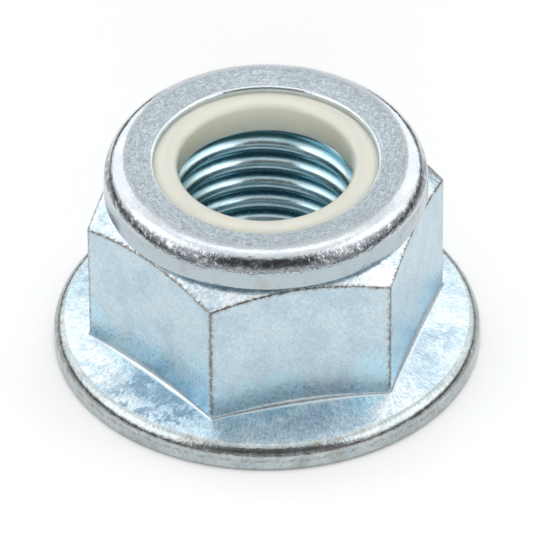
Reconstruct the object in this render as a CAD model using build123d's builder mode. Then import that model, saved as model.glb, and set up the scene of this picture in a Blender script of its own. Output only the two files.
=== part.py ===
"""Flanged hexagon lock nut, M8 x 1, with a crimped nylon insert.

Frame: +Z runs along the thread axis, away from the bearing face.
Origin: centre of the flat bearing face under the flange.
"""
import os
from math import cos, radians, tan

from build123d import *

# Thread
thread_diameter = 8.0  # at the groove's root
thread_pitch = 1.0
thread_depth_share = 0.45  # groove depth as a share of the pitch
thread_root_share = 1 / 8  # flat at the groove's root as a share of the pitch
thread_flank_angle = 30.0  # each flank, from the plane across the axis
groove_overcut = 0.1  # the cutting section reaches this far inside the crest
groove_lead_in = 1.3  # the groove starts this far below the bearing face
groove_run_out = 0.6  # and ends this far above the insert's seat
groove_start_direction = 115.2  # of the groove's lower end, in degrees from +X
core_wall = 0.9  # metal round the thread's roots in the threaded core
mouth_diameter = 8.7  # countersink in the bearing face
mouth_angle = 60.0  # countersink wall, from the plane across the axis
exit_chamfer_width = 0.2  # chamfer at the thread's end under the insert
exit_chamfer_height = 0.25

# Hexagon
across_flats = 13.0
corner_round = 0.12
corner_chamfer_angle = 30.0  # from the plane across the axis

# Flange
flange_diameter = 17.7
flange_edge_height = 0.975  # where the rim and the conical top would meet
flange_top_angle = 15.0  # conical top, from the plane across the axis
rim_round_share = 0.44  # rim rounding as a share of the flange's width beyond a corner
rim_foot_round = 0.08
hexagon_foot_fillet = 0.2

# Collar, crimped over the insert
nut_height = 9.38
collar_rise = 2.52  # top of a corner edge to the top of the collar
collar_overhang = 0.16  # collar radius beyond the flats
collar_foot_round = 0.11
neck_depth = 0.14  # relief under the collar, behind the flats
neck_height = 0.12
shoulder_height = 1.1  # the shoulder's width is what the crown and the wall leave
crown_width = 0.12  # level ring between the shoulder and the slope to the lip
shell_thickness = 0.87
lip_diameter = 9.24
lip_thickness = 0.26
lip_drop = 0.13  # lip edge below the top of the collar
lip_slope_width = 1.0
lip_slope_blend = 0.8
lip_edge_round = 0.18
lip_underside_angle = 12.0  # from the plane across the axis

# Insert
insert_bore_diameter = 7.24
insert_seat_depth = 1.63  # top of the collar to the seat under the insert
insert_edge_round = 0.43
insert_crown_height = 0.14
insert_mouth_round = 0.13
insert_foot_round = 0.25

height_tolerance = 0.01  # for picking edges by their height

# Radii and heights that follow from the sizes above
thread_radius = thread_diameter / 2
crest_radius = thread_radius - thread_depth_share * thread_pitch
mouth_radius = mouth_diameter / 2
mouth_depth = (mouth_radius - crest_radius) / tan(radians(mouth_angle))
flat_radius = across_flats / 2
sharp_corner_radius = flat_radius / cos(radians(30))
corner_radius = sharp_corner_radius - corner_round * (1 / cos(radians(30)) - 1)
chamfer_slope = tan(radians(corner_chamfer_angle))
flange_radius = flange_diameter / 2
rim_round = rim_round_share * (flange_radius - corner_radius)
flange_top_slope = tan(radians(flange_top_angle))
flange_apex_height = flange_edge_height + flange_radius * flange_top_slope
flange_foot_height = flange_apex_height - flat_radius * flange_top_slope
neck_radius = flat_radius - neck_depth
collar_radius = flat_radius + collar_overhang
corner_height = nut_height - collar_rise
chamfer_foot_height = corner_height - (sharp_corner_radius - corner_radius) * chamfer_slope
chamfer_top_height = corner_height + (corner_radius - neck_radius) * chamfer_slope
collar_foot_height = chamfer_top_height + neck_height
seat_height = nut_height - insert_seat_depth
recess_radius = collar_radius - shell_thickness
lip_radius = lip_diameter / 2
lip_height = nut_height - lip_drop
lip_underside_height = lip_height - lip_thickness
lip_underside_fall = (recess_radius - lip_radius) * tan(radians(lip_underside_angle))
crown_inner_radius = lip_radius + lip_slope_width
crown_outer_radius = crown_inner_radius + crown_width
shoulder_foot_height = nut_height - shoulder_height
insert_bore_radius = insert_bore_diameter / 2
insert_top_height = lip_underside_height + insert_crown_height
core_radius = thread_radius + core_wall
groove_end_height = seat_height + groove_run_out
groove_inner_radius = crest_radius - groove_overcut
groove_root_half = thread_root_share * thread_pitch / 2
groove_flank_reach = (thread_radius - groove_inner_radius) * tan(radians(thread_flank_angle))
groove_mouth_half = groove_root_half + groove_flank_reach


def insert_outside():
    """Outline that the insert and its recess share, from the lip down to the seat."""
    FilletPolyline(
        (lip_radius, lip_underside_height),
        (recess_radius, lip_underside_height - lip_underside_fall),
        (recess_radius, seat_height),
        radius=insert_edge_round,
    )


# Threaded core of the steel body, from the bearing face to the insert's seat
with BuildPart() as threaded_core:
    with BuildSketch():
        Circle(core_radius)
        Circle(crest_radius, mode=Mode.SUBTRACT)
    extrude(amount=seat_height)

    # Right-hand thread groove
    with BuildLine() as groove_path:
        Helix(
            thread_pitch,
            groove_lead_in + groove_end_height,
            crest_radius,
            center=(0, 0, -groove_lead_in),
        )
    with BuildSketch(Plane.XZ):
        with BuildLine():
            Polyline(
                (thread_radius, -groove_lead_in - groove_root_half),
                (thread_radius, -groove_lead_in + groove_root_half),
                (groove_inner_radius, -groove_lead_in + groove_mouth_half),
                (groove_inner_radius, -groove_lead_in - groove_mouth_half),
                close=True,
            )
        make_face()
    sweep(path=groove_path.wires()[0], is_frenet=True, mode=Mode.SUBTRACT)

    # Countersink in the bearing face, and a chamfer under the insert
    with BuildSketch(Plane.XZ):
        with BuildLine():
            Polyline(
                (0, 0),
                (mouth_radius, 0),
                (crest_radius, mouth_depth),
                (crest_radius, seat_height - exit_chamfer_height),
                (crest_radius + exit_chamfer_width, seat_height),
                (0, seat_height),
                close=True,
            )
        make_face()
    revolve(axis=Axis.Z, mode=Mode.SUBTRACT)

# Steel body: flange, hexagon, collar and thread, forged in one piece
with BuildPart() as nut_body:
    # Flange: straight rim and a conical top that runs on under the hexagon
    with BuildSketch(Plane.XZ):
        with BuildLine():
            FilletPolyline(
                (0, 0),
                (flange_radius, 0),
                (flange_radius, flange_edge_height),
                (0, flange_apex_height),
                radius=(rim_foot_round, rim_round),
            )
            Line((0, flange_apex_height), (0, 0))
        make_face()
    revolve(axis=Axis.Z)

    # Hexagon, filleted where it stands on the flange
    with BuildSketch() as hexagon_outline:
        RegularPolygon(flat_radius, 6, major_radius=False)
        fillet(hexagon_outline.vertices(), corner_round)
    extrude(amount=chamfer_top_height)
    hexagon_foot_edges = nut_body.edges(Select.NEW).filter_by_position(
        Axis.Z, flange_edge_height, flange_foot_height + height_tolerance
    )
    fillet(hexagon_foot_edges, hexagon_foot_fillet)

    # Corner chamfer: one cone through the tops of all six corner edges
    with BuildSketch(Plane.XZ):
        with BuildLine():
            Polyline(
                (neck_radius, chamfer_top_height),
                (sharp_corner_radius, chamfer_foot_height),
                (sharp_corner_radius, chamfer_top_height),
                close=True,
            )
        make_face()
    revolve(axis=Axis.Z, mode=Mode.SUBTRACT)

    # Collar: relieved neck, straight wall, rolled shoulder, slope down to the lip
    with BuildSketch(Plane.XZ):
        with BuildLine():
            FilletPolyline(
                (neck_radius, collar_foot_height),
                (collar_radius, collar_foot_height),
                (collar_radius, shoulder_foot_height),
                radius=collar_foot_round,
            )
            EllipticalCenterArc(
                (crown_outer_radius, shoulder_foot_height),
                collar_radius - crown_outer_radius,
                shoulder_height,
                start_angle=0,
                arc_size=90,
            )
            FilletPolyline(
                (crown_outer_radius, nut_height),
                (crown_inner_radius, nut_height),
                (lip_radius, lip_height),
                (lip_radius, lip_underside_height),
                radius=(lip_slope_blend, lip_edge_round),
            )
            Polyline(
                (lip_radius, lip_underside_height),
                (0, lip_underside_height),
                (0, flange_foot_height),
                (neck_radius, flange_foot_height),
                (neck_radius, collar_foot_height),
            )
        make_face()
    revolve(axis=Axis.Z)

    # Recess that holds the insert
    with BuildSketch(Plane.XZ):
        with BuildLine():
            insert_outside()
            Polyline(
                (recess_radius, seat_height),
                (0, seat_height),
                (0, lip_underside_height),
                (lip_radius, lip_underside_height),
            )
        make_face()
    revolve(axis=Axis.Z, mode=Mode.SUBTRACT)

    # Room for the threaded core, which closes it again
    with BuildSketch():
        Circle(core_radius)
    extrude(amount=seat_height, mode=Mode.SUBTRACT)
    add(threaded_core.part.rotate(Axis.Z, groove_start_direction))

# Nylon insert: ring held under the lip, domed where it shows
with BuildPart() as nylon_insert:
    with BuildSketch(Plane.XZ) as insert_section:
        with BuildLine():
            insert_outside()
            Polyline(
                (recess_radius, seat_height),
                (insert_bore_radius, seat_height),
                (insert_bore_radius, insert_top_height),
            )
            SagittaArc(
                (insert_bore_radius, insert_top_height),
                (lip_radius, lip_underside_height),
                insert_crown_height,
            )
        make_face()
        bore_foot, bore_mouth = insert_section.vertices().group_by(Axis.X)[0].sort_by(Axis.Y)
        fillet(bore_foot, insert_foot_round)
        bore_mouth = insert_section.vertices().group_by(Axis.X)[0].sort_by(Axis.Y)[-1]
        fillet(bore_mouth, insert_mouth_round)
    revolve(axis=Axis.Z)

os.makedirs("parts", exist_ok=True)
nut_body.part.label = "nut_body"
export_step(nut_body.part, "parts/nut_body.step")
nylon_insert.part.label = "nylon_insert"
export_step(nylon_insert.part, "parts/nylon_insert.step")
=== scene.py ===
"""Looks of the flanged nylon insert lock nut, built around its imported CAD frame.

The script works in millimetres in the frame of the part: +Z up the thread axis, origin at the
centre of the bearing face. Meshes are scaled to metres when they are made.
"""

from math import cos, pi, radians, sin, tan

import bmesh
import bpy
import numpy as np
from mathutils import Matrix, Vector


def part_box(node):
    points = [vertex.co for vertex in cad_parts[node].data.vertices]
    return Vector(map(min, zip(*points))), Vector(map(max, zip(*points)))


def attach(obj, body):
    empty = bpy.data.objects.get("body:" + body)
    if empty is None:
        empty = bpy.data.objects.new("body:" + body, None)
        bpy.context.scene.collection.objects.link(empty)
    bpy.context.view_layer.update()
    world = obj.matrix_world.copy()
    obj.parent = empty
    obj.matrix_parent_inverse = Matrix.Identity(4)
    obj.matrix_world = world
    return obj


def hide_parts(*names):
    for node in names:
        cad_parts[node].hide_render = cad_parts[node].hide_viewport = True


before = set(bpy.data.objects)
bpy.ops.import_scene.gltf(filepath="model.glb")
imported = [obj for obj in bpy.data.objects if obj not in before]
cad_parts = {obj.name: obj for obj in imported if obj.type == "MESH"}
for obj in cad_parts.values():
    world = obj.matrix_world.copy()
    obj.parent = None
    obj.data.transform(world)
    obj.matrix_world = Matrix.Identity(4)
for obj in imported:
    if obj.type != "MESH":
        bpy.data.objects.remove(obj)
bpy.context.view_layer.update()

MM = 0.001
MICROMETRE = 1e-6

# Sizes of the part. The outer ones come from the frame, and the others repeat the part's source,
# apart from lip_edge_round and insert_mouth_round, which were fitted to the photograph.
body_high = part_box("nut_body")[1] / MM
insert_low, insert_high = (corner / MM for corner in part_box("nylon_insert"))
flange_radius = body_high.x
nut_height = body_high.z
recess_radius = insert_high.x
seat_height = insert_low.z
flat_radius = 6.5
corner_round = 0.12
collar_rise = 2.52
flange_edge_height = 0.975
flange_top_slope = tan(radians(15))
rim_round = 0.6
rim_foot_round = 0.08
foot_fillet = 0.2
neck_radius = 6.36
neck_height = 0.12
collar_radius = 6.66
collar_foot_round = 0.11
shoulder_height = 1.1
crown_width = 0.12
lip_radius = 4.62
lip_drop = 0.13
lip_slope_width = 1.0
lip_slope_blend = 0.8
lip_edge_round = 0.14
lip_thickness = 0.26
lip_underside_slope = tan(radians(12))
insert_edge_round = 0.43
insert_bore_radius = 3.62
insert_crown = 0.14
insert_mouth_round = 0.3
insert_foot_round = 0.25
thread_radius = 4.0
crest_radius = 3.55
thread_pitch = 1.0
thread_root_share = 1 / 8
groove_phase = 0.38
mouth_radius = 4.35
mouth_slope = tan(radians(60))
exit_chamfer_width = 0.2
exit_chamfer_height = 0.25

# Sizes that follow from those above
COS30 = cos(radians(30))
TAN30 = tan(radians(30))
sharp_corner_radius = flat_radius / COS30
corner_radius = sharp_corner_radius - corner_round * (1 / COS30 - 1)
corner_height = nut_height - collar_rise
flange_apex_height = flange_edge_height + flange_radius * flange_top_slope
chamfer_top_height = corner_height + (corner_radius - neck_radius) * TAN30
collar_foot_height = chamfer_top_height + neck_height
lip_height = nut_height - lip_drop
lip_underside_height = lip_height - lip_thickness
lip_underside_fall = (recess_radius - lip_radius) * lip_underside_slope
crown_inner_radius = lip_radius + lip_slope_width
crown_outer_radius = crown_inner_radius + crown_width
shoulder_foot_height = nut_height - shoulder_height
insert_top_height = lip_underside_height + insert_crown
exit_radius = crest_radius + exit_chamfer_width

# Small forms that only the looks have
CRIMP_LEAN = tan(radians(2.0))  # the rolled collar leans a little, so its rim is not quite level
LEAN_PIVOT_HEIGHT = 7.6
LEAN_BLEND_HEIGHT = 1.2
LIP_WAVES = (2, 3, 5, 9, 14)  # waves round the axis
LIP_WAVE_HEIGHT = 0.05
LIP_WAVE_SEED = 3
BORE_WAVES = (2, 3, 4)
BORE_WAVE_HEIGHT = 0.03
BORE_WAVE_SEED = 5
BORE_WAVE_BLEND = 0.2  # the bore's wave fades from here, outside the bore, to the lip
CREST_SOFTNESS = 0.11
ROOT_SOFTNESS = 0.03
FOOT_SHARE_AT_CORNER = 0.7  # of the part's fillet
FOOT_SHARE_GAIN = 0.5  # more along the flats
FOOT_BLEND = (radians(2), radians(22))  # away from a corner

# Rows and columns of the meshes. Steps count the points along a rounding, and shares run from
# the start of a face to its end.
CORNER_COLUMNS = (0.0, 0.14, 0.28, 0.42, 0.56, 0.8, 1.2, 1.8, 2.7, 4.0)  # degrees from a corner
FLAT_COLUMN_STEP = 1.35  # degrees
INSERT_COLUMNS = 288
MOUTH_EDGE_WIDTH = 0.02
BEARING_FACE_RADII = (5.2, 6.8, 8.2)
RIM_FOOT_STEPS = 5
RIM_HEIGHTS = (0.16, 0.24, 0.32, 0.4, 0.48)
RIM_STEPS = 13
FLANGE_SHARES = (0.1, 0.25, 0.4, 0.55, 0.7, 0.83, 0.92, 0.97, 1.0)
FOOT_STEPS = 8
FLAT_SHARES = (0.02, 0.07, 0.2, 0.4, 0.6, 0.8, 0.93)
# Edge between flat and chamfer, as (distance inside the flat, distance below the edge)
FLAT_TOP_EDGE = (
    (0.0, 0.2), (0.0, 0.1), (0.0, 0.05), (0.003, 0.022), (0.014, 0.0), (0.05, -0.025),
)
CHAMFER_START = 0.06  # inside the flat
CHAMFER_SHARES = (0.1, 0.25, 0.5, 0.75, 1.0)
COLLAR_FOOT_STEPS = 6
COLLAR_WALL_RISES = (0.2, 0.35)
SHOULDER_STEPS = 22
LIP_BLEND_STEPS = 4
LIP_SLOPE_SHARES = (0.2, 0.4, 0.6, 0.8)
LIP_EDGE_STEPS = 7
RECESS_EDGE_STEPS = 5
SEAT_CORNER_ROUND = 0.001
SEAT_RADIUS = 4.9  # a row between the recess and the thread
THREAD_STEPS = (0.0, 0.05, 0.1, 0.15, 0.2, 0.25, 0.3, 0.36, 0.41, 0.455)  # pitches from a crest
TURNS_BELOW = 3  # pitches from the nut's lowest crest down to the lowest row
SPARE_TURNS = 2
INSERT_FOOT_RADIUS = 5.2  # a row between the recess and the bore
INSERT_FOOT_STEPS = 7
INSERT_BORE_HEIGHTS = (8.2, 8.4, 8.6)
INSERT_MOUTH_STEPS = 11
INSERT_EDGE_STEPS = 8
CROWN_POINTS = 14
CROWN_START = 5  # the first point of the crown that the bore's mouth leaves
FAR_FROM_EDGE = 1.0
MERGE_DISTANCE = 1e-8  # in metres
SHARP_ANGLE = radians(50)

# Camera: the photograph's viewing angle, fitted to the nut's outlines
CAMERA_ELEVATION = 38.5
CAMERA_AZIMUTH = -12.2
CAMERA_ROLL = -0.43
CAMERA_DISTANCE = 340.0
CAMERA_CLIP = (0.01, 10)  # in metres
PIXELS_PER_MM = 24.2
FRAME_PIXELS = 533
SENSOR_WIDTH = 36.0
TARGET_HEIGHT = 3.6

# Zones of the steel, each with a lighter tint, a deeper tint and a roughness
ZINC = {
    "plain": ((0.57, 0.67, 0.72), (0.44, 0.58, 0.66), 0.2),
    "rim": ((0.54, 0.60, 0.61), (0.46, 0.53, 0.55), 0.17),
    "flange": ((0.70, 0.82, 0.88), (0.56, 0.70, 0.80), 0.26),
    "foot": ((0.66, 0.74, 0.78), (0.56, 0.67, 0.74), 0.3),
    "flat": ((0.565, 0.685, 0.75), (0.49, 0.63, 0.72), 0.3),
    "chamfer": ((0.76, 0.84, 0.88), (0.60, 0.72, 0.80), 0.17),
    "collar": ((0.68, 0.72, 0.75), (0.61, 0.67, 0.715), 0.13),
    "thread": ((0.66, 0.82, 0.88), (0.54, 0.73, 0.80), 0.22),
}
ZONES = tuple(ZINC)

# Colours of stains and wear on the steel, of the shade and reflections painted on it, and of the
# nylon
DULL_BLUE = (0.27, 0.40, 0.50)
BRIGHT_BLUE = (0.84, 0.91, 0.94)
SPECK_BLUE = (0.2, 0.3, 0.38)
TAN_STAIN = (0.40, 0.35, 0.28)
# dark specks; the same colour paints the shade at the rim's foot
DARK_SPECK_AND_FOOT_SHADE = (0.10, 0.085, 0.075)
WORN_EDGE = (0.13, 0.105, 0.085)
WORN_HALO = (0.40, 0.37, 0.32)
RIM_LINE_BROWN = (0.24, 0.20, 0.16)
# brown wear with painted dark reflection on the rim's rounding
RIM_WEAR_AND_PAINTED_REFLECTION = (0.20, 0.18, 0.16)
# painted reflection, lighter and bluer, on the flats near the flange
FLAT_LOW_PAINTED_REFLECTION = (0.50, 0.74, 0.86)
FLAT_GREY = (0.50, 0.50, 0.47)
WALL_GREY = (0.47, 0.55, 0.59)
RING_GREY = (0.51, 0.585, 0.63)
RING_DULL = (0.40, 0.47, 0.52)
RING_BRIGHT = (0.72, 0.78, 0.82)
# painted dark reflection of the studio, and painted glints in it, on the collar's shoulder
ROLLED_PAINTED_DARK_REFLECTION = (0.13, 0.135, 0.15)
ROLLED_PAINTED_GLINT = (0.80, 0.83, 0.85)
# painted shade in the roots of the thread
THREAD_ROOT_PAINTED_SHADE = (0.06, 0.22, 0.29)
NYLON_LIGHT = (0.90, 0.89, 0.75)
NYLON_DEEP = (0.86, 0.85, 0.71)
NYLON_SCATTER = 1.4  # how far light spreads in the nylon

# Bands of height or radius, as (where it rises from 0 to 1, where it falls back)
RIM_LINE = ((0.34, 0.46), (0.62, 0.5))
# band of the rim's rounding with brown wear and painted dark reflection
RIM_WEAR_AND_REFLECTION_BAND = ((0.62, 0.74), (0.95, 0.83))
COLLAR_RING = ((5.85, 5.6), (4.66, 4.8))
# band of the collar's shoulder that carries the painted dark reflection
COLLAR_PAINTED_REFLECTION_BAND = ((8.55, 8.72), (9.08, 8.9))

# Ends of a smooth step from 0 to 1
# heights of the painted shade where the rim meets the floor
RIM_FOOT_PAINTED_SHADE = (0.1, 0.02)  # heights
FLANGE_DULL_EDGE = (8.2, 7.7)  # radii
# heights of the painted reflection on the flats' lower parts
FLAT_PAINTED_REFLECTION_ZONE = (3.6, 1.8)  # heights
COLLAR_WALL = (8.62, 8.4)  # heights
COLLAR_HAMMERED = (9.3, 9.1)  # heights
# radii of the painted shade in the thread's roots
THREAD_ROOT_SHADE_SPAN = (3.62, 3.88)  # radii

# Spans of a noise value, each of which a smooth step spreads over its whole output
GRAIN_SPAN = (0.3, 0.7)
STREAK_SPAN = (0.34, 0.66)
RAGGED_SPAN = (0.35, 0.65)
CLOUD_SPAN = (0.38, 0.62)

# How the layers of the steel are built
ROUGHNESS_SPREAD = (0.8, 1.25)  # times the zone's roughness
RING_ROUGHNESS = 0.3
CENTRED = (-0.5, 0.5)
SPOT_UNEVENNESS = 0.7  # of the spot's radius
SPOT_CORE = 0.4  # share of the spot's radius inside which it is whole
MID_FLAT_SPAN = (0.3, -0.8)  # of a cosine that is 1 at the corners and -1 amid the flats
LOW_ZONE_UNEVENNESS = 1.3
EDGE_RAGGEDNESS = 0.05
EDGE_HALO_WIDTHS = (2.2, 0.8)  # times the width of the worn line
EDGE_HALO_SHARE = 0.4
EDGE_HALO_ROUGHNESS = 0.4
EDGE_LINE_CORE = 0.3  # share of the line's width inside which it is whole
EDGE_BREAKS = (0.4, 0.58)
EDGE_BREAK_SHARE = 0.35
THREAD_BRUSHING = (0.6, 0.6, 9.0)  # squeezes the noise into lines across the axis

# Patches on the flange, as (centre, radius, share)
DULL_SPOTS = (
    ((-5.3, -4.5, 1.5), 2.0, 0.95),
    ((1.2, 7.4, 1.3), 1.5, 0.6),
    ((-7.3, 4.2, 1.1), 0.9, 0.4),
)
BRIGHT_SPOTS = (
    ((-7.2, -1.6, 1.3), 1.4, 0.6),
    ((3.6, -7.0, 1.2), 1.6, 0.8),
    ((7.5, -2.4, 1.2), 1.2, 0.4),
    ((4.5, 6.2, 1.3), 1.4, 0.6),
)

# Sockets of a Mix node
MIX_COLOURS = (6, 7)
MIX_FLOATS = (2, 3)
MIX_COLOUR_RESULT = 2

# Studio: directions are degrees to the right of the camera and degrees above the floor
WORLD_FILL = 0.04
FLOOR_HALF = 1500
FLOOR_DROP = 0.01  # below the bearing face
FLOOR_COLOUR = (0.97, 0.97, 0.97, 1)
FLOOR_LIFT = 0.19  # glow of the floor near the nut, so that it renders white
FLOOR_LIFT_SPAN = (80, 700)  # the glow grows to 1 between these distances
WHITE = (1, 1, 1, 1)
LAMP_WATTS = 4  # for one unit of radiance from a square metre of an area lamp
# (name, off, elevation, distance, width, height, radiance)
LAMPS = (
    ("overhead_fill", 180, 75, 330, 380, 250, 2.05),
    ("left_fill", -74, 40, 330, 420, 210, 0.6),
    ("right_fill", 74, 40, 330, 420, 210, 0.6),
    ("front_fill", 0, 16, 330, 320, 170, 2.1),
)
CARD_FAR = 450
CARD_NEAR = 80
CARD_COLUMNS = 25
CARD_ROWS = 9
# (name, off from and to, elevation from and to, brightness, distance)
CARDS = (
    ("overhead_box", (112, 248), (61, 90), 1.5, CARD_FAR),
    ("left_box", (-112, -42), (20, 58), 1.8, CARD_FAR),
    ("right_box", (42, 112), (20, 58), 1.8, CARD_FAR),
    ("dark_front", (-42, 42), (21, 62), 0.16, CARD_FAR),
    ("dim_front", (-42, 42), (7, 21), 0.62, CARD_FAR),
    ("dark_low_front", (-42, 42), (0, 7), 0.1, CARD_FAR),
    ("dark_left", (-165, -34), (0, 13), 0.1, CARD_NEAR),
    ("dark_right", (34, 165), (0, 13), 0.1, CARD_NEAR),
    ("dim_left", (-120, -42), (13, 20), 0.8, CARD_FAR),
    ("dim_right", (42, 120), (13, 20), 0.8, CARD_FAR),
    ("left_edge", (-165, -120), (8, 50), 1.4, CARD_FAR),
    ("right_edge", (120, 165), (8, 50), 1.4, CARD_FAR),
    ("back_wall", (165, 195), (6, 31), 0.86, CARD_FAR),
    ("back_wall_top", (165, 195), (31, 61), 0.84, CARD_FAR),
)


def add_object(name, data):
    made = bpy.data.objects.new(name, data)
    bpy.context.collection.objects.link(made)
    return made


# Camera


def camera_axes():
    """Right, up and backward directions of the camera in the frame of the part."""
    azimuth, elevation = radians(CAMERA_AZIMUTH), radians(CAMERA_ELEVATION)
    flat = cos(elevation)
    back = Vector((sin(azimuth) * flat, -cos(azimuth) * flat, sin(elevation)))
    right = Vector((cos(azimuth), sin(azimuth), 0))
    return right, back.cross(right), back


def make_camera():
    right, up, back = camera_axes()
    roll = Matrix.Rotation(radians(CAMERA_ROLL), 3, back)
    right, up = roll @ right, roll @ up
    data = bpy.data.cameras.new("camera")
    data.sensor_width = SENSOR_WIDTH
    data.lens = PIXELS_PER_MM * CAMERA_DISTANCE * SENSOR_WIDTH / FRAME_PIXELS
    data.clip_start, data.clip_end = CAMERA_CLIP
    camera = add_object("camera", data)
    place = Vector((0, 0, TARGET_HEIGHT)) + back * CAMERA_DISTANCE
    turn = Matrix((right, up, back)).transposed().to_4x4()
    camera.matrix_world = Matrix.Translation(place * MM) @ turn
    bpy.context.scene.camera = camera


# Section and outline helpers


def smoothstep(low, high, value):
    t = np.clip((value - low) / (high - low), 0, 1)
    return t * t * (3 - 2 * t)


def rounded_profile(points, roundings):
    """Straight lines in the section plane with an arc, (radius, steps), at each inner corner."""
    made = [points[0]]
    for before, corner, after, (radius, steps) in zip(points, points[1:], points[2:], roundings):
        p0, p1, p2 = (np.array(p, float) for p in (before, corner, after))
        into = (p1 - p0) / np.linalg.norm(p1 - p0)
        out = (p2 - p1) / np.linalg.norm(p2 - p1)
        turn = np.arccos(np.clip(into @ out, -1, 1))
        side = np.sign(into[0] * out[1] - into[1] * out[0])
        start = p1 - into * radius * np.tan(turn / 2)
        centre = start + radius * side * np.array((-into[1], into[0]))
        spoke = start - centre
        for share in np.linspace(0, 1, steps):
            c, s = np.cos(side * turn * share), np.sin(side * turn * share)
            turned = (spoke[0] * c - spoke[1] * s, spoke[0] * s + spoke[1] * c)
            made.append(tuple(centre + turned))
    made.append(points[-1])
    return made


def column_angles():
    """Directions of the mesh columns: even across each flat, crowded at the corners."""
    near = list(CORNER_COLUMNS)
    count = int((60 - 2 * near[-1]) / FLAT_COLUMN_STEP) + 2
    middle = list(np.linspace(near[-1], 60 - near[-1], count)[1:-1])
    sector = near + middle + [60 - degrees for degrees in reversed(near[1:])]
    return np.radians([60 * corner + degrees for corner in range(6) for degrees in sector])


def from_corner(angles):
    """Angle to the nearest corner of the hexagon."""
    return np.abs((angles + pi / 6) % (pi / 3) - pi / 6)


def hexagon_radius(angles, grow):
    """Distance from the axis to the rounded hexagon, grown outward, in each direction."""
    away = from_corner(angles)
    rounding = corner_round + grow
    centre = (flat_radius - corner_round) / COS30
    straight = (flat_radius + grow) / np.cos(pi / 6 - away)
    reach = np.sqrt(np.maximum(rounding**2 - (centre * np.sin(away)) ** 2, 0))
    tangent = np.arctan2(rounding / 2, centre + rounding * COS30)
    return np.where(away < tangent, centre * np.cos(away) + reach, straight)


def thread_profile(share):
    """Radius of the threaded wall; share is 0 amid a crest and 0.5 amid a root."""
    away = np.abs((share + 0.5) % 1.0 - 0.5) * thread_pitch
    root_half = thread_root_share * thread_pitch / 2
    flank = thread_radius - (thread_pitch / 2 - root_half - away) / TAN30
    past_crest = np.logaddexp(0, (flank - crest_radius) / CREST_SOFTNESS)
    blended = crest_radius + CREST_SOFTNESS * past_crest
    short_of_root = np.logaddexp(0, (thread_radius - blended) / ROOT_SOFTNESS)
    return thread_radius - ROOT_SOFTNESS * short_of_root


def thread_rows(angles):
    """Rows along the helix from below the bearing face to above the seat, clamped to both ends."""
    shares = sorted(set(THREAD_STEPS) | {1 - step for step in THREAD_STEPS if step > 0} | {0.5})
    turns = int(np.ceil(seat_height / thread_pitch)) + SPARE_TURNS
    crest_start = groove_phase + thread_pitch / 2 - TURNS_BELOW * thread_pitch
    rise = angles / (2 * pi)
    rows = []
    for turn in range(turns):
        for share in shares:
            height = crest_start + (turn + share) * thread_pitch + rise * thread_pitch
            height = np.clip(height, 0, seat_height)
            radius = thread_profile((height - crest_start) / thread_pitch - rise)
            mouth = mouth_radius - height * mouth_slope
            chamfer_slope = exit_chamfer_width / exit_chamfer_height
            leaving = exit_radius - (seat_height - height) * chamfer_slope
            rows.append((np.maximum(np.maximum(radius, mouth), leaving), height))
    return rows, len(shares)


def lean(points):
    """The collar's lean towards the front: none at its foot, and all of it below the lip."""
    back = camera_axes()[2]
    front = np.array((back.x, back.y)) / Vector((back.x, back.y)).length
    lean_top = collar_foot_height + LEAN_BLEND_HEIGHT
    slope = CRIMP_LEAN * smoothstep(collar_foot_height, lean_top, points[:, 2])
    toward = points[:, :2] @ front
    moved = points.copy()
    moved[:, 2] -= slope * toward
    moved[:, :2] += np.outer(slope * (points[:, 2] - LEAN_PIVOT_HEIGHT), front)
    return moved


def wobble(angles, counts, seed):
    """A smooth closed wave round the axis, mixed from the given numbers of waves."""
    phases = np.random.default_rng(seed).uniform(0, 2 * pi, len(counts))
    waves = [
        np.sin(count * angles + phase) / (1 + i / 2)
        for i, (count, phase) in enumerate(zip(counts, phases))
    ]
    return np.sum(waves, 0) / len(counts)


# Meshes


class Rings:
    """Rows of points round the axis, each with its zone and its distance to a worn edge."""

    def __init__(self, angles):
        self.angles = angles
        self.radii = []
        self.heights = []
        self.zones = []
        self.edges = []

    def add(self, radius, height, zone, edge=FAR_FROM_EDGE):
        level = np.zeros_like(self.angles)
        self.radii.append(radius + level)
        self.heights.append(height + level)
        self.zones.append(ZONES.index(zone))
        self.edges.append(edge + level)

    def add_profile(self, points, zone):
        for radius, height in points:
            self.add(radius, height, zone)

    def points(self):
        radii, heights = np.array(self.radii), np.array(self.heights)
        x, y = radii * np.cos(self.angles), radii * np.sin(self.angles)
        return np.stack((x, y, heights), 2).reshape(-1, 3)


def foot_size(angles):
    """Radius of the fillet at the hexagon's foot: tight at the corners, fuller along the flats."""
    gain = FOOT_SHARE_GAIN * smoothstep(*FOOT_BLEND, from_corner(angles))
    return foot_fillet * (FOOT_SHARE_AT_CORNER + gain)


def foot_height(angles, outline_at):
    """Height where the foot fillet runs into the flat, above the conical top of the flange."""
    size = foot_size(angles)
    cone_cosine = 1 / np.sqrt(1 + flange_top_slope**2)
    return flange_apex_height - flange_top_slope * outline_at(size) + size / cone_cosine


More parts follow.
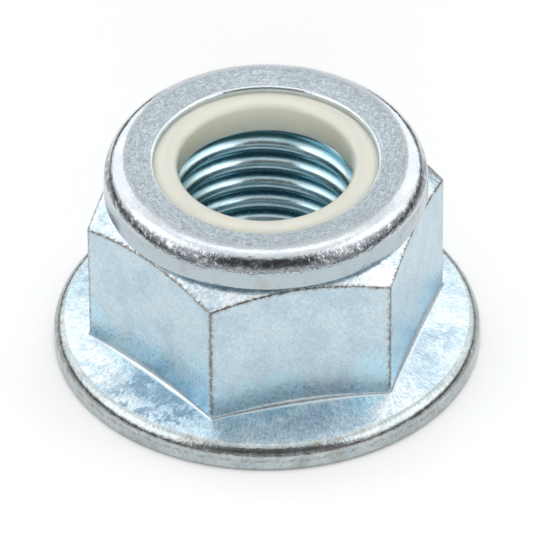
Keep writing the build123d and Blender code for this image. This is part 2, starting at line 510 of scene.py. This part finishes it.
def add_flange(rings, outline_at):
    """Bearing face, rim, conical top and the fillet at the hexagon's foot."""
    profile = rounded_profile(
        [
            (mouth_radius, 0),
            (flange_radius, 0),
            (flange_radius, flange_edge_height),
            (corner_radius, flange_apex_height - corner_radius * flange_top_slope),
        ],
        ((rim_foot_round, RIM_FOOT_STEPS), (rim_round, RIM_STEPS)),
    )
    rim_start = 1 + RIM_FOOT_STEPS
    rings.add(mouth_radius + MOUTH_EDGE_WIDTH, 0, "plain")
    rings.add_profile([(radius, 0) for radius in BEARING_FACE_RADII], "plain")
    rings.add_profile(profile[1:rim_start], "rim")
    rings.add_profile([(flange_radius, height) for height in RIM_HEIGHTS], "rim")
    rings.add_profile(profile[rim_start:-1], "rim")
    size = foot_size(rings.angles)
    cone_angle = np.arctan(flange_top_slope)
    toe = outline_at(size * (1 - sin(cone_angle)))
    start = profile[-2][0]
    for share in FLANGE_SHARES:
        radius = start + (toe - start) * share
        rings.add(radius, flange_apex_height - radius * flange_top_slope, "flange")
    wall_foot = foot_height(rings.angles, outline_at)
    for turn in np.linspace(pi / 2 + cone_angle, pi, FOOT_STEPS)[1:]:
        rings.add(outline_at(size * (1 + cos(turn))), wall_foot - size * sin(turn), "foot")


def add_hexagon(rings, outline_at):
    """Six flats up to the arcs that the corner chamfer cuts, then the chamfer."""
    outline = outline_at(0)
    foot = foot_height(rings.angles, outline_at)
    top = corner_height + (corner_radius - outline) * TAN30
    corner_away = from_corner(rings.angles) * corner_radius
    for share in FLAT_SHARES:
        height = foot + (top - foot) * share
        rings.add(outline, height, "flat", np.minimum(corner_away, (top - height) * COS30))
    for inset, drop in FLAT_TOP_EDGE:
        zone = "flat" if drop > 0 else "chamfer"
        edge = np.minimum(corner_away, max(drop, inset))
        rings.add(outline - inset, top - drop, zone, edge)
    for share in CHAMFER_SHARES:
        radius = outline - CHAMFER_START + (neck_radius - outline + CHAMFER_START) * share
        height = corner_height + (corner_radius - radius) * TAN30
        rings.add(radius, height, "chamfer", (outline - radius) / COS30)


def add_collar(rings):
    """Neck, wall, rolled shoulder, sloping crown and lip, and the recess that they close."""
    wave = wobble(rings.angles, LIP_WAVES, LIP_WAVE_SEED) * LIP_WAVE_HEIGHT
    foot = rounded_profile(
        [
            (neck_radius, collar_foot_height),
            (collar_radius, collar_foot_height),
            (collar_radius, shoulder_foot_height),
        ],
        ((collar_foot_round, COLLAR_FOOT_STEPS),),
    )
    rings.add_profile(foot[:-1], "collar")
    for rise in COLLAR_WALL_RISES:
        rings.add(collar_radius, collar_foot_height + rise, "collar")
    shoulder_width = collar_radius - crown_outer_radius
    for turn in np.radians(np.linspace(0, 90, SHOULDER_STEPS)):
        radius = crown_outer_radius + shoulder_width * cos(turn)
        rings.add(radius, shoulder_foot_height + shoulder_height * sin(turn), "collar")
    crown = rounded_profile(
        [
            (crown_outer_radius, nut_height),
            (crown_inner_radius, nut_height),
            (lip_radius, lip_height),
            (lip_radius, lip_underside_height),
        ],
        ((lip_slope_blend, LIP_BLEND_STEPS), (lip_edge_round, LIP_EDGE_STEPS)),
    )
    edge_start = 1 + LIP_BLEND_STEPS
    slope_start, slope_end = crown[edge_start - 1], crown[edge_start]
    rings.add_profile(crown[1:edge_start], "collar")
    for share in LIP_SLOPE_SHARES:
        radius = slope_start[0] + (slope_end[0] - slope_start[0]) * share
        height = slope_start[1] + (slope_end[1] - slope_start[1]) * share
        rings.add(radius + wave * share, height, "collar")
    for radius, height in crown[edge_start:]:
        rings.add(radius + wave, height, "collar")
    recess = rounded_profile(
        [
            (lip_radius, lip_underside_height),
            (recess_radius, lip_underside_height - lip_underside_fall),
            (recess_radius, seat_height),
            (SEAT_RADIUS, seat_height),
        ],
        ((insert_edge_round, RECESS_EDGE_STEPS), (SEAT_CORNER_ROUND, 1)),
    )
    rings.add_profile(recess[1:], "plain")


def make_body():
    """The steel body as one closed mesh; the rows of its inner wall follow the thread."""
    angles = column_angles()
    columns = len(angles)
    rings = Rings(angles)

    def outline_at(grow):
        return hexagon_radius(angles, grow)

    add_flange(rings, outline_at)
    add_hexagon(rings, outline_at)
    add_collar(rings)
    first = len(rings.radii)
    helix, per_pitch = thread_rows(angles)
    for radius, height in reversed(helix):
        rings.add(radius, height, "thread")
    last = len(rings.radii) - 1
    column = np.arange(columns)
    next_column = (column + 1) % columns
    plain, thread = ZONES.index("plain"), ZONES.index("thread")
    faces, zones = [], []

    def strip(lower, upper, zone, closed=True):
        """Quads from one row to another; an open strip stops at the seam of the helix."""
        count = columns if closed else columns - 1
        a, b = column[:count], next_column[:count]
        low, high = lower * columns, upper * columns
        faces.append(np.stack((low + a, low + b, high + b, high + a), 1))
        zones.append(np.full(count, zone))

    for row in range(first):
        strip(row, row + 1, rings.zones[row + 1] if row + 1 < first else plain)
    for row in range(first, last):
        strip(row, row + 1, thread, closed=False)
    # At the seam the helix steps up by one pitch, to a row that comes one pitch later
    for row in range(first, last - per_pitch):
        end = (row + per_pitch + 1) * columns - 1
        start = row * columns
        faces.append(np.array([(end, start, start + columns, end + columns)]))
        zones.append(np.array([thread]))
    strip(last, 0, plain)
    return build_mesh(
        "nut_body_detail",
        rings.points(),
        np.concatenate(faces),
        np.concatenate(zones),
        np.concatenate(rings.edges),
    )


def insert_section():
    """Closed section of the nylon ring, as (radius, height) from its foot round by the bore."""
    shares = np.linspace(0, 1, CROWN_POINTS)
    width = lip_radius - insert_bore_radius
    fall = insert_top_height - lip_underside_height
    crown = [
        (
            insert_bore_radius + width * share,
            insert_top_height - fall * share + 4 * insert_crown * share * (1 - share),
        )
        for share in shares
    ]
    bore = rounded_profile(
        [
            (INSERT_FOOT_RADIUS, seat_height),
            (insert_bore_radius, seat_height),
            (insert_bore_radius, insert_top_height),
            crown[CROWN_START],
        ],
        ((insert_foot_round, INSERT_FOOT_STEPS), (insert_mouth_round, INSERT_MOUTH_STEPS)),
    )
    outer = rounded_profile(
        [
            (lip_radius, lip_underside_height),
            (recess_radius, lip_underside_height - lip_underside_fall),
            (recess_radius, seat_height),
        ],
        ((insert_edge_round, INSERT_EDGE_STEPS),),
    )
    mouth_start = 1 + INSERT_FOOT_STEPS
    wall = [(insert_bore_radius, height) for height in INSERT_BORE_HEIGHTS]
    return np.array(
        bore[:mouth_start] + wall + bore[mouth_start:-1] + crown[CROWN_START:-1] + outer
    )


def make_insert():
    """The nylon ring: a closed lathe mesh with a low crown and rounded bore edges."""
    angles = np.linspace(0, 2 * pi, INSERT_COLUMNS, endpoint=False)
    section = insert_section()
    radii, heights = section[:, :1], section[:, 1:]
    wave = wobble(angles, BORE_WAVES, BORE_WAVE_SEED) * BORE_WAVE_HEIGHT
    radii = radii + wave * smoothstep(lip_radius, insert_bore_radius + BORE_WAVE_BLEND, radii)
    x, y = radii * np.cos(angles), radii * np.sin(angles)
    points = np.stack((x, y, np.broadcast_to(heights, x.shape)), 2).reshape(-1, 3)
    column = np.arange(INSERT_COLUMNS)
    next_column = (column + 1) % INSERT_COLUMNS
    faces = []
    for row in range(len(section)):
        low, high = row * INSERT_COLUMNS, (row + 1) % len(section) * INSERT_COLUMNS
        quads = (low + next_column, high + next_column, high + column, low + column)
        faces.append(np.stack(quads, 1))
    faces = np.concatenate(faces)
    zones = np.zeros(len(faces), int)
    edges = np.full(len(points), FAR_FROM_EDGE)
    return build_mesh("nylon_insert_detail", points, faces, zones, edges)


def build_mesh(name, points, faces, zones, edges):
    """A smooth-shaded mesh in metres, with doubled points joined, that keeps its edge distances."""
    mesh = bpy.data.meshes.new(name)
    mesh.from_pydata((lean(points) * MM).tolist(), [], faces.tolist())
    mesh.polygons.foreach_set("material_index", zones)
    mesh.attributes.new("edge_distance", "FLOAT", "POINT").data.foreach_set("value", edges)
    shape = bmesh.new()
    shape.from_mesh(mesh)
    bmesh.ops.remove_doubles(shape, verts=shape.verts, dist=MERGE_DISTANCE)
    bmesh.ops.dissolve_degenerate(shape, edges=shape.edges, dist=MERGE_DISTANCE)
    bmesh.ops.recalc_face_normals(shape, faces=shape.faces)
    shape.to_mesh(mesh)
    shape.free()
    mesh.shade_smooth()
    mesh.set_sharp_from_angle(angle=SHARP_ANGLE)
    return add_object(name, mesh)


# Materials


class Shade:
    """A material's node tree, built by short calls that each return an output socket."""

    def __init__(self, name):
        self.material = bpy.data.materials.new(name)
        self.material.use_nodes = True
        self.tree = self.material.node_tree
        self.tree.nodes.clear()
        self.output = self.tree.nodes.new("ShaderNodeOutputMaterial")

    def put(self, socket, value):
        """Link an output socket to the socket, or write a plain value into it."""
        if isinstance(value, bpy.types.NodeSocket):
            self.tree.links.new(value, socket)
        else:
            socket.default_value = value

    def node(self, kind, inputs, output=0, **settings):
        made = self.tree.nodes.new(kind)
        for key, value in settings.items():
            setattr(made, key, value)
        for key, value in inputs.items():
            self.put(made.inputs[key], value)
        return made.outputs[output]

    def math(self, operation, a, b=0.0):
        return self.node("ShaderNodeMath", {0: a, 1: b}, operation=operation)

    def vector(self, operation, inputs, output=0):
        return self.node("ShaderNodeVectorMath", inputs, output, operation=operation)

    def position(self):
        """Place on the piece in millimetres."""
        coordinates = self.node("ShaderNodeTexCoord", {}, "Object")
        return self.vector("SCALE", {0: coordinates, "Scale": 1 / MM})

    def noise(self, place, per_mm, detail=2.0, roughness=0.5, distortion=0.0):
        inputs = {
            "Vector": place,
            "Scale": per_mm,
            "Detail": detail,
            "Roughness": roughness,
            "Distortion": distortion,
        }
        return self.node("ShaderNodeTexNoise", inputs, "Fac")

    def steps(self, value, low, high, out_low=0.0, out_high=1.0):
        """Smooth step from out_low to out_high while the value goes from low to high."""
        inputs = {
            "Value": value,
            "From Min": low,
            "From Max": high,
            "To Min": out_low,
            "To Max": out_high,
        }
        return self.node("ShaderNodeMapRange", inputs, interpolation_type="SMOOTHSTEP")

    def band(self, value, ends):
        """1 inside a band of the value and 0 outside it."""
        rise, fall = ends
        return self.math("MULTIPLY", self.steps(value, *rise), self.steps(value, *fall))

    def mix(self, share, *colours, blend="MIX"):
        inputs = {0: share}
        for socket, colour in zip(MIX_COLOURS, colours):
            inputs[socket] = (*colour, 1) if isinstance(colour, tuple) else colour
        settings = {"data_type": "RGBA", "blend_type": blend}
        return self.node("ShaderNodeMix", inputs, MIX_COLOUR_RESULT, **settings)

    def bump(self, height, depth, normal=None):
        """Bump whose depth is given in micrometres."""
        inputs = {"Height": height, "Distance": depth * MICROMETRE, "Strength": 1.0}
        if normal is not None:
            inputs["Normal"] = normal
        return self.node("ShaderNodeBump", inputs)

    def finish(self, **inputs):
        """The material with one Principled shader, whose sockets are named with underscores."""
        shader = self.tree.nodes.new("ShaderNodeBsdfPrincipled")
        for key, value in inputs.items():
            self.put(shader.inputs[key.replace("_", " ")], value)
        self.tree.links.new(shader.outputs[0], self.output.inputs["Surface"])
        return self.material


class Zinc(Shade):
    """Zinc plate with a clear blue passivate, built up in layers to one metal shader."""

    def __init__(self, zone):
        super().__init__(f"zinc_{zone}")
        light, deep, roughness = ZINC[zone]
        self.place = self.position()
        self.grains = self.noise(self.place, per_mm=7.0, detail=3, roughness=0.65)
        self.fine = self.noise(self.place, per_mm=19.0, detail=2, roughness=0.7)
        clouds = self.noise(self.place, per_mm=0.8, detail=3, roughness=0.6)
        self.colour = self.mix(self.steps(clouds, *CLOUD_SPAN), light, deep)
        smoothest, roughest = (roughness * factor for factor in ROUGHNESS_SPREAD)
        self.rough = self.steps(self.grains, *GRAIN_SPAN, smoothest, roughest)
        self.normal = self.bump(self.fine, depth=0.3)

    def height(self):
        return self.node("ShaderNodeSeparateXYZ", {0: self.place}, 2)

    def beside_axis(self):
        """Place with its height left out."""
        return self.vector("MULTIPLY", {0: self.place, 1: (1, 1, 0)})

    def radius(self):
        return self.vector("LENGTH", {0: self.beside_axis()}, 1)

    def shade_by(self, value, span, darkest, lightest):
        """Multiply the colour by a factor that follows the value across its span."""
        factor = self.steps(value, *span, darkest, lightest)
        grey = self.node("ShaderNodeCombineColor", {0: factor, 1: factor, 2: factor})
        self.colour = self.mix(1.0, self.colour, grey, blend="MULTIPLY")

    def blend(self, mask, tint):
        self.colour = self.mix(mask, self.colour, tint)

    def stains(self, per_mm, low, high, share, tint=TAN_STAIN, mask=None):
        """Ragged patches where a noise is above low, whole from high on."""
        noise = self.noise(self.place, per_mm, detail=5, roughness=0.7)
        spread = self.steps(noise, low, high, out_high=share)
        self.blend(spread if mask is None else self.math("MULTIPLY", spread, mask), tint)

    def specks(self, share, low=0.62, high=0.7, tint=DARK_SPECK_AND_FOOT_SHADE):
        self.blend(self.steps(self.fine, low, high, out_high=share), tint)

    def rougher(self, mask, roughness):
        low, high = MIX_FLOATS
        self.rough = self.node("ShaderNodeMix", {0: mask, low: self.rough, high: roughness})

    def dent(self, per_mm, depth, mask=None):
        """Hammered dents, with their depth in micrometres."""
        dents = self.noise(self.place, per_mm, roughness=0.55, distortion=0.4)
        if mask is not None:
            dents = self.math("MULTIPLY", dents, mask)
        self.normal = self.bump(dents, depth, self.normal)

    def streaks(self, round_axis, along_radius):
        """Noise drawn into streaks: its waves per radian round the axis and per mm of radius."""
        around = self.vector("NORMALIZE", {0: self.beside_axis()})
        wide = self.vector("SCALE", {0: around, "Scale": round_axis})
        outward = self.math("MULTIPLY", self.radius(), along_radius)
        across = self.node("ShaderNodeCombineXYZ", {2: outward})
        place = self.vector("ADD", {0: wide, 1: across})
        return self.noise(place, per_mm=1.0, detail=4, roughness=0.75)

    def rub(self, streaks, mask, darkest, lightest):
        """Shade along streaks, inside the mask only."""
        centred = self.math("MULTIPLY", self.steps(streaks, *STREAK_SPAN, *CENTRED), mask)
        self.shade_by(centred, CENTRED, darkest, lightest)

    def spot(self, centre, radius, share, tint):
        """A cloudy patch round one place on the part."""
        away = self.vector("DISTANCE", {0: self.place, 1: centre}, 1)
        uneven = SPOT_UNEVENNESS * radius
        clouds = self.noise(self.place, per_mm=1.6, detail=4, roughness=0.7)
        ragged = self.math("ADD", away, self.steps(clouds, *RAGGED_SPAN, -uneven, uneven))
        self.blend(self.steps(ragged, radius, SPOT_CORE * radius, out_high=share), tint)

    def mid_flat(self):
        """1 in the directions of the middles of the flats, 0 towards the corners."""
        x, y = (self.node("ShaderNodeSeparateXYZ", {0: self.place}, axis) for axis in (0, 1))
        angle = self.math("ARCTAN2", y, x)
        wave = self.math("COSINE", self.math("MULTIPLY", angle, 6.0))
        return self.steps(wave, *MID_FLAT_SPAN)

    def worn_edges(self, width, share):
        """A broken dark line along the worn edges, in a paler and rougher halo."""
        edge = self.node("ShaderNodeAttribute", {}, "Fac", attribute_name="edge_distance")
        shift = self.steps(self.grains, *GRAIN_SPAN, -EDGE_RAGGEDNESS, EDGE_RAGGEDNESS)
        ragged = self.math("ADD", edge, shift)
        outer, inner = (width * factor for factor in EDGE_HALO_WIDTHS)
        halo = self.steps(ragged, outer, inner, out_high=share * EDGE_HALO_SHARE)
        self.blend(halo, WORN_HALO)
        line = self.steps(ragged, width, width * EDGE_LINE_CORE, out_high=share)
        breaks = self.steps(self.fine, *EDGE_BREAKS, out_low=EDGE_BREAK_SHARE)
        self.blend(self.math("MULTIPLY", line, breaks), WORN_EDGE)
        self.rougher(halo, EDGE_HALO_ROUGHNESS)

    def done(self):
        return self.finish(
            Base_Color=self.colour, Metallic=1.0, Roughness=self.rough, Normal=self.normal
        )


def wear_plain(zinc):
    zinc.shade_by(zinc.grains, GRAIN_SPAN, darkest=0.86, lightest=1.08)


def wear_rim(zinc):
    """Rim of the flange: grey wall with tan stains, a dark band below its top that is rubbed wear
    and painted dark reflection, and painted shade at its foot.
    """
    zinc.shade_by(zinc.grains, GRAIN_SPAN, darkest=0.88, lightest=1.08)
    height = zinc.height()
    zinc.stains(per_mm=1.6, low=0.5, high=0.68, share=0.5)
    line = zinc.band(height, RIM_LINE)
    zinc.stains(per_mm=4.5, low=0.44, high=0.6, share=0.6, tint=RIM_LINE_BROWN, mask=line)
    zinc.specks(share=0.4)
    # brown wear and painted dark reflection on the rim's rounding
    worn = zinc.band(height, RIM_WEAR_AND_REFLECTION_BAND)
    zinc.stains(per_mm=3.0, low=0.34, high=0.56, share=0.7, tint=RIM_WEAR_AND_PAINTED_REFLECTION, mask=worn)
    # painted shade at the rim's foot, where it meets the floor
    zinc.blend(zinc.steps(height, *RIM_FOOT_PAINTED_SHADE, out_high=0.7), DARK_SPECK_AND_FOOT_SHADE)
    zinc.dent(per_mm=4.0, depth=9.0)
    zinc.dent(per_mm=9.0, depth=12.0)


def wear_flange(zinc):
    """Top of the flange: hammered, bright with dull blue patches."""
    inside = zinc.steps(zinc.radius(), *FLANGE_DULL_EDGE)
    dull = zinc.math("MULTIPLY", zinc.mid_flat(), inside)
    zinc.stains(per_mm=1.3, low=0.38, high=0.6, share=0.45, tint=DULL_BLUE, mask=dull)
    zinc.stains(per_mm=0.6, low=0.54, high=0.7, share=0.4, tint=DULL_BLUE)
    for spots, tint in ((DULL_SPOTS, DULL_BLUE), (BRIGHT_SPOTS, BRIGHT_BLUE)):
        for centre, radius, share in spots:
            zinc.spot(centre, radius, share, tint)
    streaks = zinc.streaks(round_axis=95.0, along_radius=5.0)
    zinc.rub(streaks, mask=1.0, darkest=0.8, lightest=1.16)
    zinc.specks(share=0.12, tint=SPECK_BLUE)
    zinc.dent(per_mm=4.0, depth=7.0)
    zinc.normal = zinc.bump(streaks, depth=4.0, normal=zinc.normal)


def wear_foot(zinc):
    zinc.specks(share=0.3)


def wear_flat(zinc):
    """Flats of the hexagon: satin and cloudy, a lighter bluer painted reflection near the flange,
    worn brown edges.
    """
    height = zinc.height()
    # lighter and bluer towards the flange, with a ragged top: a painted reflection
    clouds = zinc.noise(zinc.place, per_mm=0.45, detail=2)
    shift = zinc.steps(clouds, *GRAIN_SPAN, -LOW_ZONE_UNEVENNESS, LOW_ZONE_UNEVENNESS)
    low = zinc.math("ADD", height, shift)
    zinc.blend(zinc.steps(low, *FLAT_PAINTED_REFLECTION_ZONE, out_high=0.8), FLAT_LOW_PAINTED_REFLECTION)
    zinc.shade_by(zinc.grains, GRAIN_SPAN, darkest=0.9, lightest=1.08)
    zinc.shade_by(zinc.fine, GRAIN_SPAN, darkest=0.9, lightest=1.1)
    zinc.stains(per_mm=0.8, low=0.52, high=0.7, share=0.3, tint=FLAT_GREY)
    zinc.worn_edges(width=0.09, share=0.95)
    zinc.dent(per_mm=1.2, depth=3.0)
    zinc.dent(per_mm=9.0, depth=0.8)


def wear_chamfer(zinc):
    """Corner chamfer: bright and hammered between dull blue patches."""
    zinc.stains(per_mm=1.3, low=0.5, high=0.66, share=0.5, tint=DULL_BLUE)
    zinc.shade_by(zinc.grains, GRAIN_SPAN, darkest=0.85, lightest=1.15)
    zinc.specks(share=0.3)
    zinc.worn_edges(width=0.08, share=0.95)
    zinc.dent(per_mm=5.0, depth=9.0)
    zinc.dent(per_mm=12.0, depth=4.0)


def wear_collar(zinc):
    """Collar: stained wall, hammered shoulder with painted dark reflection, satin ring round the
    insert.
    """
    height, radius = zinc.height(), zinc.radius()
    wall = zinc.steps(height, *COLLAR_WALL)
    ring = zinc.band(radius, COLLAR_RING)
    zinc.blend(wall, WALL_GREY)
    zinc.stains(per_mm=1.5, low=0.5, high=0.68, share=0.45, mask=wall)
    zinc.blend(ring, RING_GREY)
    fine_streaks = zinc.streaks(round_axis=46.0, along_radius=20.0)
    zinc.rub(fine_streaks, ring, darkest=0.72, lightest=1.28)
    broad_streaks = zinc.streaks(round_axis=17.0, along_radius=8.0)
    zinc.rub(broad_streaks, ring, darkest=0.84, lightest=1.16)
    zinc.stains(per_mm=0.9, low=0.46, high=0.62, share=0.35, tint=RING_DULL, mask=ring)
    zinc.stains(per_mm=2.2, low=0.56, high=0.7, share=0.5, tint=RING_BRIGHT, mask=ring)
    # painted dark reflection round the shoulder, broken by painted glints
    rolled = zinc.band(height, COLLAR_PAINTED_REFLECTION_BAND)
    zinc.stains(per_mm=3.2, low=0.34, high=0.54, share=0.85, tint=ROLLED_PAINTED_DARK_REFLECTION, mask=rolled)
    zinc.stains(per_mm=5.0, low=0.56, high=0.66, share=0.6, tint=ROLLED_PAINTED_GLINT, mask=rolled)
    zinc.specks(share=0.4, low=0.64, high=0.72)
    zinc.rougher(ring, RING_ROUGHNESS)
    off_ring = zinc.steps(ring, 0, 1, out_low=1, out_high=0.3)
    zinc.dent(per_mm=2.5, depth=10.0, mask=off_ring)
    zinc.dent(per_mm=6.5, depth=9.0, mask=off_ring)
    hammered = zinc.steps(height, *COLLAR_HAMMERED)
    zinc.dent(per_mm=5.5, depth=12.0, mask=hammered)
    zinc.dent(per_mm=13.0, depth=7.0, mask=hammered)


def wear_thread(zinc):
    """Thread: grey-blue brushed crests, and roots painted dark teal as shade in the grooves."""
    # painted shade: the roots are darkened towards dark teal
    root = zinc.steps(zinc.radius(), *THREAD_ROOT_SHADE_SPAN, out_high=0.92)
    zinc.blend(root, THREAD_ROOT_PAINTED_SHADE)
    drawn_out = zinc.vector("MULTIPLY", {0: zinc.place, 1: THREAD_BRUSHING})
    brushed = zinc.noise(drawn_out, per_mm=2.2, detail=3, roughness=0.6)
    zinc.shade_by(brushed, RAGGED_SPAN, darkest=0.88, lightest=1.08)


WEAR = {
    "plain": wear_plain,
    "rim": wear_rim,
    "flange": wear_flange,
    "foot": wear_foot,
    "flat": wear_flat,
    "chamfer": wear_chamfer,
    "collar": wear_collar,
    "thread": wear_thread,
}


def nylon():
    shade = Shade("nylon_insert")
    place = shade.position()
    clouds = shade.noise(place, per_mm=0.7)
    grain = shade.noise(place, per_mm=5.0, detail=3, roughness=0.6)
    return shade.finish(
        Base_Color=shade.mix(clouds, NYLON_LIGHT, NYLON_DEEP),
        Roughness=0.14,
        Normal=shade.bump(grain, depth=0.8),
        Specular_IOR_Level=0.7,
        Subsurface_Weight=0.7,
        Subsurface_Radius=(1.0, 0.9, 0.6),
        Subsurface_Scale=NYLON_SCATTER * MM,
    )


# Studio


def studio_direction(off, elevation):
    """Unit vector to a place off degrees to the camera's right and elevation above the floor."""
    azimuth = radians(CAMERA_AZIMUTH + off)
    flat = cos(radians(elevation))
    return Vector((sin(azimuth) * flat, -cos(azimuth) * flat, sin(radians(elevation))))


def make_lamp(name, off, elevation, distance, width, height, radiance):
    """Rectangular lamp that faces the nut with the given radiance and isn't reflected in it."""
    data = bpy.data.lights.new(name, "AREA")
    data.shape = "RECTANGLE"
    data.size, data.size_y = width * MM, height * MM
    data.energy = LAMP_WATTS * radiance * data.size * data.size_y
    lamp = add_object(name, data)
    toward = studio_direction(off, elevation)
    lamp.location = toward * distance * MM
    lamp.rotation_euler = toward.to_track_quat("Z", "Y").to_euler()
    lamp.visible_glossy = False


def make_card(name, offs, elevations, brightness, distance):
    """Curved studio card, seen only in reflections, in front of the white surroundings."""
    points = [
        studio_direction(off, elevation) * distance * MM
        for elevation in np.linspace(*elevations, CARD_ROWS)
        for off in np.linspace(*offs, CARD_COLUMNS)
    ]
    faces = []
    for row in range(CARD_ROWS - 1):
        for column in range(CARD_COLUMNS - 1):
            k = row * CARD_COLUMNS + column
            faces.append((k, k + 1, k + 1 + CARD_COLUMNS, k + CARD_COLUMNS))
    mesh = bpy.data.meshes.new(name)
    mesh.from_pydata(points, [], faces)
    shade = Shade(name)
    emission = shade.node("ShaderNodeEmission", {"Color": (brightness, brightness, brightness, 1)})
    shade.tree.links.new(emission, shade.output.inputs["Surface"])
    mesh.materials.append(shade.material)
    card = add_object(name, mesh)
    card.visible_camera = card.visible_diffuse = card.visible_shadow = False
    card.visible_transmission = card.visible_volume_scatter = False


def seen_directly(tree):
    """1 where the camera or a reflection looks at a surface, 0 where it only lights others."""
    rays = tree.nodes.new("ShaderNodeLightPath")
    total = rays.outputs["Is Camera Ray"]
    for name in ("Is Glossy Ray", "Is Transmission Ray"):
        either = tree.nodes.new("ShaderNodeMath")
        either.operation = "MAXIMUM"
        tree.links.new(total, either.inputs[0])
        tree.links.new(rays.outputs[name], either.inputs[1])
        total = either.outputs[0]
    return total


def make_floor():
    half = FLOOR_HALF * MM
    corners = [(-half, -half, 0), (half, -half, 0), (half, half, 0), (-half, half, 0)]
    mesh = bpy.data.meshes.new("floor")
    mesh.from_pydata(corners, [], [(0, 1, 2, 3)])
    shade = Shade("floor")
    away = shade.vector("LENGTH", {0: shade.position()}, 1)
    seen = seen_directly(shade.tree)
    lift = shade.math("MULTIPLY", seen, shade.steps(away, *FLOOR_LIFT_SPAN, out_low=FLOOR_LIFT))
    mesh.materials.append(shade.finish(
        Base_Color=FLOOR_COLOUR,
        Roughness=1.0,
        Specular_IOR_Level=0.0,
        Emission_Color=WHITE,
        Emission_Strength=lift,
    ))
    floor = add_object("floor", mesh)
    floor.location.z = -FLOOR_DROP * MM


def make_world():
    """White where it is seen or reflected, and only a faint light on the nut."""
    world = bpy.data.worlds.new("studio")
    world.use_nodes = True
    tree = world.node_tree
    tree.nodes.clear()
    strength = tree.nodes.new("ShaderNodeMapRange")
    tree.links.new(seen_directly(tree), strength.inputs["Value"])
    strength.inputs["To Min"].default_value = WORLD_FILL
    background = tree.nodes.new("ShaderNodeBackground")
    background.inputs["Color"].default_value = WHITE
    tree.links.new(strength.outputs[0], background.inputs["Strength"])
    output = tree.nodes.new("ShaderNodeOutputWorld")
    tree.links.new(background.outputs[0], output.inputs["Surface"])
    bpy.context.scene.world = world


bpy.context.scene.view_settings.view_transform = "Standard"
make_camera()
make_world()
make_floor()
for lamp_row in LAMPS:
    make_lamp(*lamp_row)
for card_row in CARDS:
    make_card(*card_row)

body = make_body()
for zone in ZONES:
    zinc = Zinc(zone)
    WEAR[zone](zinc)
    body.data.materials.append(zinc.done())
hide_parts("nut_body")
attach(body, "root")

insert = make_insert()
insert.data.materials.append(nylon())
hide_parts("nylon_insert")
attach(insert, "root")
